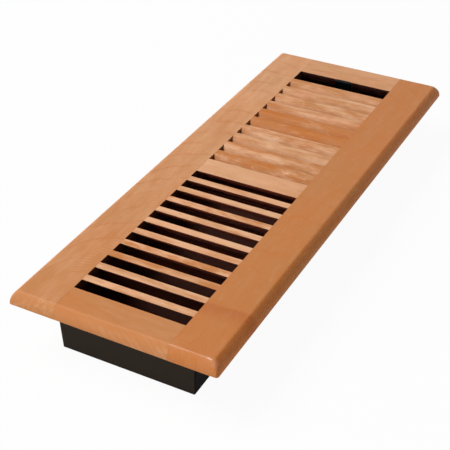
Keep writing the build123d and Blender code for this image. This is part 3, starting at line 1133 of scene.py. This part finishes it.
def slat_tree():
    """Geometry Nodes: a leaning, tenoned slat on every point of the mesh it is given."""
    tree = bpy.data.node_groups.new("LouvreSlats", "GeometryNodeTree")
    source, sink = add_sockets(
        tree,
        (
            ("Places", "NodeSocketGeometry", None),
            ("Slot Length", "NodeSocketFloat", 0.08),
            ("Slat Face", "NodeSocketFloat", 0.007),
            ("Thickness", "NodeSocketFloat", 0.008),
            ("Lean", "NodeSocketFloat", 1.0),
            ("Tenon Length", "NodeSocketFloat", 0.003),
            ("Tenon Share", "NodeSocketFloat", 0.4),
            ("Tenon Centre", "NodeSocketFloat", 0.005),
            ("Wood", "NodeSocketMaterial", None),
        ),
        (("Slats", "NodeSocketGeometry"),),
    )
    given = source.outputs
    half_face = figure(tree, "MULTIPLY", given["Slat Face"], 0.5)
    half_thick = figure(tree, "MULTIPLY", given["Thickness"], 0.5)

    size = tree.nodes.new("ShaderNodeCombineXYZ")
    cube = tree.nodes.new("GeometryNodeMeshCube")
    lift = tree.nodes.new("ShaderNodeCombineXYZ")
    seat = tree.nodes.new("GeometryNodeTransform")
    link_nodes(
        tree,
        (given["Slot Length"], size.inputs["X"]),
        (given["Slat Face"], size.inputs["Y"]),
        (given["Thickness"], size.inputs["Z"]),
        (size.outputs[0], cube.inputs["Size"]),
        (half_face, lift.inputs["Y"]),
        (half_thick, lift.inputs["Z"]),
        (cube.outputs["Mesh"], seat.inputs["Geometry"]),
        (lift.outputs[0], seat.inputs["Translation"]),
    )

    # Shoulder and tenon at both ends
    normal = tree.nodes.new("GeometryNodeInputNormal")
    facing = axes_of(tree, normal.outputs[0])
    shoulder = tree.nodes.new("GeometryNodeExtrudeMesh")
    shoulder.inputs["Offset Scale"].default_value = 0.0
    centre = tree.nodes.new("ShaderNodeCombineXYZ")
    narrow = tree.nodes.new("GeometryNodeScaleElements")
    narrow.scale_mode = "SINGLE_AXIS"
    narrow.inputs["Axis"].default_value = (0.0, 0.0, 1.0)
    cheek = tree.nodes.new("GeometryNodeScaleElements")
    cheek.scale_mode = "SINGLE_AXIS"
    cheek.inputs["Axis"].default_value = (0.0, 1.0, 0.0)
    cheek.inputs["Scale"].default_value = TENON_CHEEK
    tenon = tree.nodes.new("GeometryNodeExtrudeMesh")
    outward = figure(tree, "GREATER_THAN", figure(tree, "ABSOLUTE", facing["X"]), END_FACE)
    link_nodes(
        tree,
        (seat.outputs[0], shoulder.inputs["Mesh"]),
        (outward, shoulder.inputs["Selection"]),
        (shoulder.outputs["Mesh"], narrow.inputs["Geometry"]),
        (shoulder.outputs["Top"], narrow.inputs["Selection"]),
        (given["Tenon Share"], narrow.inputs["Scale"]),
        (half_face, centre.inputs["Y"]),
        (given["Tenon Centre"], centre.inputs["Z"]),
        (centre.outputs[0], narrow.inputs["Center"]),
        (narrow.outputs[0], cheek.inputs["Geometry"]),
        (shoulder.outputs["Top"], cheek.inputs["Selection"]),
        (centre.outputs[0], cheek.inputs["Center"]),
        (cheek.outputs[0], tenon.inputs["Mesh"]),
        (shoulder.outputs["Top"], tenon.inputs["Selection"]),
        (given["Tenon Length"], tenon.inputs["Offset Scale"]),
    )

    # Lean, then one slat on each point
    position = tree.nodes.new("GeometryNodeInputPosition")
    height = axes_of(tree, position.outputs[0])["Z"]
    shear = tree.nodes.new("ShaderNodeCombineXYZ")
    leaning = tree.nodes.new("GeometryNodeSetPosition")
    spread = tree.nodes.new("GeometryNodeInstanceOnPoints")
    real = tree.nodes.new("GeometryNodeRealizeInstances")
    coat = tree.nodes.new("GeometryNodeSetMaterial")
    below = figure(tree, "SUBTRACT", given["Thickness"], height)
    link_nodes(
        tree,
        (figure(tree, "MULTIPLY", below, given["Lean"]), shear.inputs["Y"]),
        (tenon.outputs["Mesh"], leaning.inputs["Geometry"]),
        (shear.outputs[0], leaning.inputs["Offset"]),
        (given["Places"], spread.inputs["Points"]),
        (leaning.outputs[0], spread.inputs["Instance"]),
        (spread.outputs[0], real.inputs[0]),
        (real.outputs[0], coat.inputs["Geometry"]),
        (given["Wood"], coat.inputs["Material"]),
        (coat.outputs[0], sink.inputs["Slats"]),
    )
    return tree


def staple_tree():
    """Geometry Nodes: flat wire with rounded bends along the staples' lines."""
    tree = bpy.data.node_groups.new("BoxStaples", "GeometryNodeTree")
    source, sink = add_sockets(
        tree,
        (
            ("Lines", "NodeSocketGeometry", None),
            ("Wire Width", "NodeSocketFloat", 0.0012),
            ("Gauge", "NodeSocketFloat", 0.0007),
            ("Bend", "NodeSocketFloat", 0.0006),
            ("Steel", "NodeSocketMaterial", None),
        ),
        (("Staples", "NodeSocketGeometry"),),
    )
    given = source.outputs
    path = tree.nodes.new("GeometryNodeMeshToCurve")
    rounding = tree.nodes.new("GeometryNodeFilletCurve")
    rounding.mode = "POLY"
    rounding.inputs["Count"].default_value = BEND_STEPS
    upright = tree.nodes.new("GeometryNodeSetCurveNormal")
    upright.mode = "MINIMUM_TWIST"
    section = tree.nodes.new("GeometryNodeCurvePrimitiveQuadrilateral")
    sweep = tree.nodes.new("GeometryNodeCurveToMesh")
    sweep.inputs["Fill Caps"].default_value = True
    real = tree.nodes.new("GeometryNodeRealizeInstances")
    coat = tree.nodes.new("GeometryNodeSetMaterial")
    link_nodes(
        tree,
        (given["Lines"], path.inputs["Mesh"]),
        (path.outputs[0], rounding.inputs["Curve"]),
        (given["Bend"], rounding.inputs["Radius"]),
        (rounding.outputs[0], upright.inputs["Curve"]),
        (given["Wire Width"], section.inputs["Width"]),
        (given["Gauge"], section.inputs["Height"]),
        (upright.outputs[0], sweep.inputs["Curve"]),
        (section.outputs[0], sweep.inputs["Profile Curve"]),
        (sweep.outputs[0], real.inputs[0]),
        (real.outputs[0], coat.inputs["Geometry"]),
        (given["Steel"], coat.inputs["Material"]),
        (coat.outputs[0], sink.inputs["Staples"]),
    )
    return tree


# Stage


def seen_rays(tree):
    """One for rays from the camera, or through gloss and glass, and else nought."""
    paths = tree.nodes.new("ShaderNodeLightPath")
    seen = figure(tree, "ADD", paths.outputs["Is Camera Ray"], paths.outputs["Is Glossy Ray"])
    return figure(tree, "ADD", seen, paths.outputs["Is Transmission Ray"], clamp=True)


def clear_of_box(tree):
    """Nought on the floor inside the box's rim, where it is dark, and else one."""
    low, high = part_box("damper_box")
    place = axes_of(tree, coordinates(tree, "Object"))
    along = figure(tree, "SUBTRACT", place["Y"], (low.y + high.y) / 2)
    across = figure(tree, "LESS_THAN", figure(tree, "ABSOLUTE", place["X"]), high.x - RIM_INSET)
    within = figure(tree, "LESS_THAN", figure(tree, "ABSOLUTE", along), (high.y - low.y) / 2 - RIM_INSET)
    return figure(tree, "SUBTRACT", 1.0, figure(tree, "MULTIPLY", across, within))


def make_floor(studio):
    """A wide pale floor, near white to the camera with the part's shadow, and clear from below."""
    reach = FLOOR_REACH
    mesh = bpy.data.meshes.new("floor")
    mesh.from_pydata(
        [(-reach, -reach, 0.0), (reach, -reach, 0.0), (reach, reach, 0.0), (-reach, reach, 0.0)],
        [],
        [(0, 1, 2, 3)],
    )
    floor = new_piece("floor", mesh)
    material = bpy.data.materials.new("pale_floor")
    material.use_nodes = True
    tree = material.node_tree
    tree.nodes.clear()
    output = tree.nodes.new("ShaderNodeOutputMaterial")
    matt = tree.nodes.new("ShaderNodeBsdfDiffuse")
    matt.inputs["Color"].default_value = FLOOR_GREY
    glow = tree.nodes.new("ShaderNodeEmission")
    glow.inputs["Color"].default_value = WHITE
    mix = tree.nodes.new("ShaderNodeMixShader")
    sides = tree.nodes.new("ShaderNodeNewGeometry")
    clear = tree.nodes.new("ShaderNodeBsdfTransparent")
    turned = tree.nodes.new("ShaderNodeMixShader")
    share = figure(tree, "MULTIPLY", seen_rays(tree), studio.floor_glow)
    share = figure(tree, "MULTIPLY", share, clear_of_box(tree))
    link_nodes(
        tree,
        (share, mix.inputs["Fac"]),
        (matt.outputs[0], mix.inputs[1]),
        (glow.outputs[0], mix.inputs[2]),
        (sides.outputs["Backfacing"], turned.inputs["Fac"]),
        (mix.outputs[0], turned.inputs[1]),
        (clear.outputs[0], turned.inputs[2]),
        (turned.outputs[0], output.inputs["Surface"]),
    )
    mesh.materials.append(material)


def make_world(scene, studio):
    """Room light from low down all round, white where the camera looks past the floor."""
    world = bpy.data.worlds.new("studio")
    world.use_nodes = True
    scene.world = world
    tree = world.node_tree
    tree.nodes.clear()
    output = tree.nodes.new("ShaderNodeOutputWorld")
    room = tree.nodes.new("ShaderNodeBackground")
    room.inputs["Color"].default_value = ROOM_TINT
    height = axes_of(tree, coordinates(tree, "Generated"))["Z"]
    low_down = ramped(tree, height, *ROOM_FADE, 1.0, ROOM_ABOVE)
    feed(tree, room.inputs["Strength"], figure(tree, "MULTIPLY", low_down, studio.room_light))
    white = tree.nodes.new("ShaderNodeBackground")
    white.inputs["Color"].default_value = WHITE
    mix = tree.nodes.new("ShaderNodeMixShader")
    link_nodes(
        tree,
        (seen_rays(tree), mix.inputs["Fac"]),
        (room.outputs[0], mix.inputs[1]),
        (white.outputs[0], mix.inputs[2]),
        (mix.outputs[0], output.inputs["Surface"]),
    )


def aim(thing, place, target):
    """Put a light or camera at a place, looking at a target."""
    thing.location = place
    thing.rotation_euler = (target - Vector(place)).to_track_quat("-Z", "Y").to_euler()


def add_area_light(name, place, target, size, power):
    """A square soft light."""
    lamp = bpy.data.lights.new(name, "AREA")
    lamp.size = size
    lamp.energy = power
    light = bpy.data.objects.new(name, lamp)
    bpy.context.scene.collection.objects.link(light)
    aim(light, place, target)


def add_camera(scene, studio, target):
    """The camera at the photograph's viewing angle."""
    back = Vector((
        math.sin(studio.azimuth) * math.cos(studio.elevation),
        -math.cos(studio.azimuth) * math.cos(studio.elevation),
        math.sin(studio.elevation),
    ))
    lens = bpy.data.cameras.new("camera")
    lens.lens = studio.lens
    lens.sensor_width = SENSOR_WIDTH
    lens.clip_start = CLIP_START
    camera = bpy.data.objects.new("camera", lens)
    scene.collection.objects.link(camera)
    aim(camera, target + back * studio.distance, target)
    scene.camera = camera


# Operators


class REGISTER_OT_frame_boards(Operator):
    """Make the two stiles and three rails in varnished maple, with rounded corners and eased edges"""

    bl_idname = "floor_register.frame_boards"
    bl_label = "Frame boards"

    def execute(self, context):
        finish = context.scene.register_maple
        # Each kind of board gets its colour of painted shade for the cheeks, the undercuts and the slots
        kinds = ((STILES, ALONG_PLATE, finish.cheek_painted_shade), (RAILS, ACROSS_PLATE, finish.undercut_painted_shade))
        for boards, turn, painted_shade_colour in kinds:
            for node, own_grain in boards.items():
                board = merged_copy(node, f"{node}_board")
                if node in STILES:
                    round_corners(board, finish.corner_radius)
                ease_edges(board, finish.edge_ease)
                material = maple_material(f"maple_{node}", finish, turn, painted_shade_colour, BOARD_GRAIN | own_grain)
                carry(board, BODY, MAPLE_SLOT, material, node)
        return {"FINISHED"}


class REGISTER_OT_louvre_slats(Operator):
    """Make both fields of fixed slats, each slat cut from its own board"""

    bl_idname = "floor_register.louvre_slats"
    bl_label = "Louvre slats"

    def execute(self, context):
        finish = context.scene.register_maple
        stored = {
            "Seed": "slat_seed",
            "Tone": "slat_tone",
            "Flecks": "slat_flecks",
            "Mottle": "slat_mottle",
            "Pith Side": "slat_seed",
        }
        # The slats get the undercut colour as painted shade
        painted_shade_colour = finish.undercut_painted_shade
        wood = maple_material("maple_slats", finish, ACROSS_PLATE, painted_shade_colour, SLAT_GRAIN | stored)
        tree = slat_tree()
        share = TENON_HEIGHT / PLATE_THICKNESS
        tenon_low = TENON_MIDDLE - TENON_HEIGHT / 2
        fields = (
            ("near_louvres", NEAR_SLATS, SLAT_LEAN, NEAR_TONES, NEAR_FLECKS, NEAR_SEED),
            ("far_louvres", FAR_SLATS, -SLAT_LEAN, FAR_TONES, FAR_FLECKS, FAR_SEED),
        )
        for name, nodes, lean, tones, flecks, seed in fields:
            if lean > 0:
                tops = [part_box(node)[0].y for node in nodes]
            else:
                tops = [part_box(node)[1].y - SLAT_FACE for node in nodes]
            slats = slat_places(name, tops, tones, flecks, seed)
            making = slats.modifiers.new("Slats", "NODES")
            making.node_group = tree
            tree_input(making, "Slot Length", 2 * SLOT_HALF)
            tree_input(making, "Slat Face", SLAT_FACE)
            tree_input(making, "Thickness", PLATE_THICKNESS)
            tree_input(making, "Lean", lean)
            tree_input(making, "Tenon Length", SLAT_END - SLOT_HALF)
            tree_input(making, "Tenon Share", share)
            tree_input(making, "Tenon Centre", tenon_low / (1 - share))
            tree_input(making, "Wood", wood)
            settle(slats)
            ease_edges(slats, finish.edge_ease)
            carry(slats, BODY, MAPLE_SLOT, wood, *nodes)
        return {"FINISHED"}


class REGISTER_OT_damper_box(Operator):
    """Finish the damper box in black plastic with eased edges, brown on its inside"""

    bl_idname = "floor_register.damper_box"
    bl_label = "Damper box"

    def execute(self, context):
        finish = context.scene.register_plastic
        shell = merged_copy("damper_box", "damper_box_shell")
        ease_edges(shell, finish.edge_ease)
        # The box's long sides get a darker colour as painted shade
        material = plastic_material(
            "box_plastic",
            finish,
            BOX_LOOK,
            finish.box_black,
            finish.box_side_painted_shade,
            finish.box_inner_brown,
        )
        carry(shell, BODY, PLASTIC_SLOT, material, "damper_box")
        return {"FINISHED"}


class REGISTER_OT_box_staples(Operator):
    """Make the staples that hold the box's flange, in bent flat wire"""

    bl_idname = "floor_register.box_staples"
    bl_label = "Box staples"

    def execute(self, context):
        finish = context.scene.register_staples
        steel = steel_material("staple_zinc", finish)
        crowns = staple_crowns()
        half_gauge = finish.gauge / 2
        crown_level = STAPLE_LOW.z + half_gauge
        points = []
        edges = []
        for middle_x, near_y, far_y in crowns:
            first = len(points)
            points += [
                (middle_x, near_y + half_gauge, STAPLE_HIGH.z),
                (middle_x, near_y + half_gauge, crown_level),
                (middle_x, far_y - half_gauge, crown_level),
                (middle_x, far_y - half_gauge, STAPLE_HIGH.z),
            ]
            edges += [(first + step, first + step + 1) for step in range(3)]
        mesh = bpy.data.meshes.new("flange_staples")
        mesh.from_pydata(points, edges, [])
        staples = new_piece("flange_staples", mesh)
        making = staples.modifiers.new("Wire", "NODES")
        making.node_group = staple_tree()
        tree_input(making, "Wire Width", wire_width())
        tree_input(making, "Gauge", finish.gauge)
        tree_input(making, "Bend", finish.bend)
        tree_input(making, "Steel", steel)
        settle(staples)
        carry(staples, BODY, STEEL_SLOT, steel, "box_staples")
        return {"FINISHED"}


class REGISTER_OT_damper_blades(Operator):
    """Finish the blades and their link bar in dark brown plastic"""

    bl_idname = "floor_register.damper_blades"
    bl_label = "Damper blades"

    def execute(self, context):
        finish = context.scene.register_plastic
        # Faces along X of the blades and link bar get the box's darker side colour as painted shade
        material = plastic_material(
            "blade_plastic", finish, BLADE_LOOK, finish.blade_brown, finish.box_side_painted_shade
        )
        for node in BLADES + ["link_bar"]:
            dress(node, material)
        return {"FINISHED"}


class REGISTER_OT_damper_lever(Operator):
    """Finish the lever with the softened edges of a thumb tab"""

    bl_idname = "floor_register.damper_lever"
    bl_label = "Damper lever"

    def execute(self, context):
        finish = context.scene.register_plastic
        lever = merged_copy("damper_lever", "damper_lever_tab")
        ease_edges(lever, finish.edge_ease)
        material = plastic_material(
            "lever_plastic", finish, LEVER_LOOK, finish.lever_black, finish.lever_black
        )
        carry(lever, LINKAGE, PLASTIC_SLOT, material, "damper_lever")
        return {"FINISHED"}


class REGISTER_OT_studio(Operator):
    """Set up the pale floor, the soft light and the camera"""

    bl_idname = "floor_register.studio"
    bl_label = "Studio"

    def execute(self, context):
        studio = context.scene.register_studio
        make_floor(studio)
        make_world(context.scene, studio)
        target = Vector(studio.target)
        add_area_light("key_light", KEY_PLACE, target, KEY_SIZE, studio.key_power)
        add_area_light("top_light", TOP_PLACE, target, TOP_SIZE, studio.top_power)
        add_camera(context.scene, studio, target)
        context.scene.view_settings.view_transform = "Standard"
        return {"FINISHED"}


# Panel and registering


class REGISTER_PT_sidebar(Panel):
    """Lists the steps that dress the register"""

    bl_idname = "REGISTER_PT_sidebar"
    bl_label = "Floor register"
    bl_space_type = "VIEW_3D"
    bl_region_type = "UI"
    bl_category = "Register"

    def draw(self, context):
        for step in STEPS:
            self.layout.operator(step.bl_idname)


SETTINGS = {
    "register_maple": MapleFinish,
    "register_plastic": PlasticFinish,
    "register_staples": StapleFinish,
    "register_studio": StudioSettings,
}
STEPS = (
    REGISTER_OT_frame_boards,
    REGISTER_OT_louvre_slats,
    REGISTER_OT_damper_box,
    REGISTER_OT_box_staples,
    REGISTER_OT_damper_blades,
    REGISTER_OT_damper_lever,
    REGISTER_OT_studio,
)
CLASSES = (*SETTINGS.values(), *STEPS, REGISTER_PT_sidebar)


def register():
    """Add the classes and their settings."""
    for kind in CLASSES:
        bpy.utils.register_class(kind)
    for name, kind in SETTINGS.items():
        setattr(bpy.types.Scene, name, PointerProperty(type=kind))


def unregister():
    """Remove the settings and the classes."""
    for name in SETTINGS:
        delattr(bpy.types.Scene, name)
    for kind in reversed(CLASSES):
        bpy.utils.unregister_class(kind)


def main():
    """Dress the register step by step."""
    register()
    bpy.ops.floor_register.frame_boards()
    bpy.ops.floor_register.louvre_slats()
    bpy.ops.floor_register.damper_box()
    bpy.ops.floor_register.box_staples()
    bpy.ops.floor_register.damper_blades()
    bpy.ops.floor_register.damper_lever()
    bpy.ops.floor_register.studio()


if __name__ == "__main__":
    main()
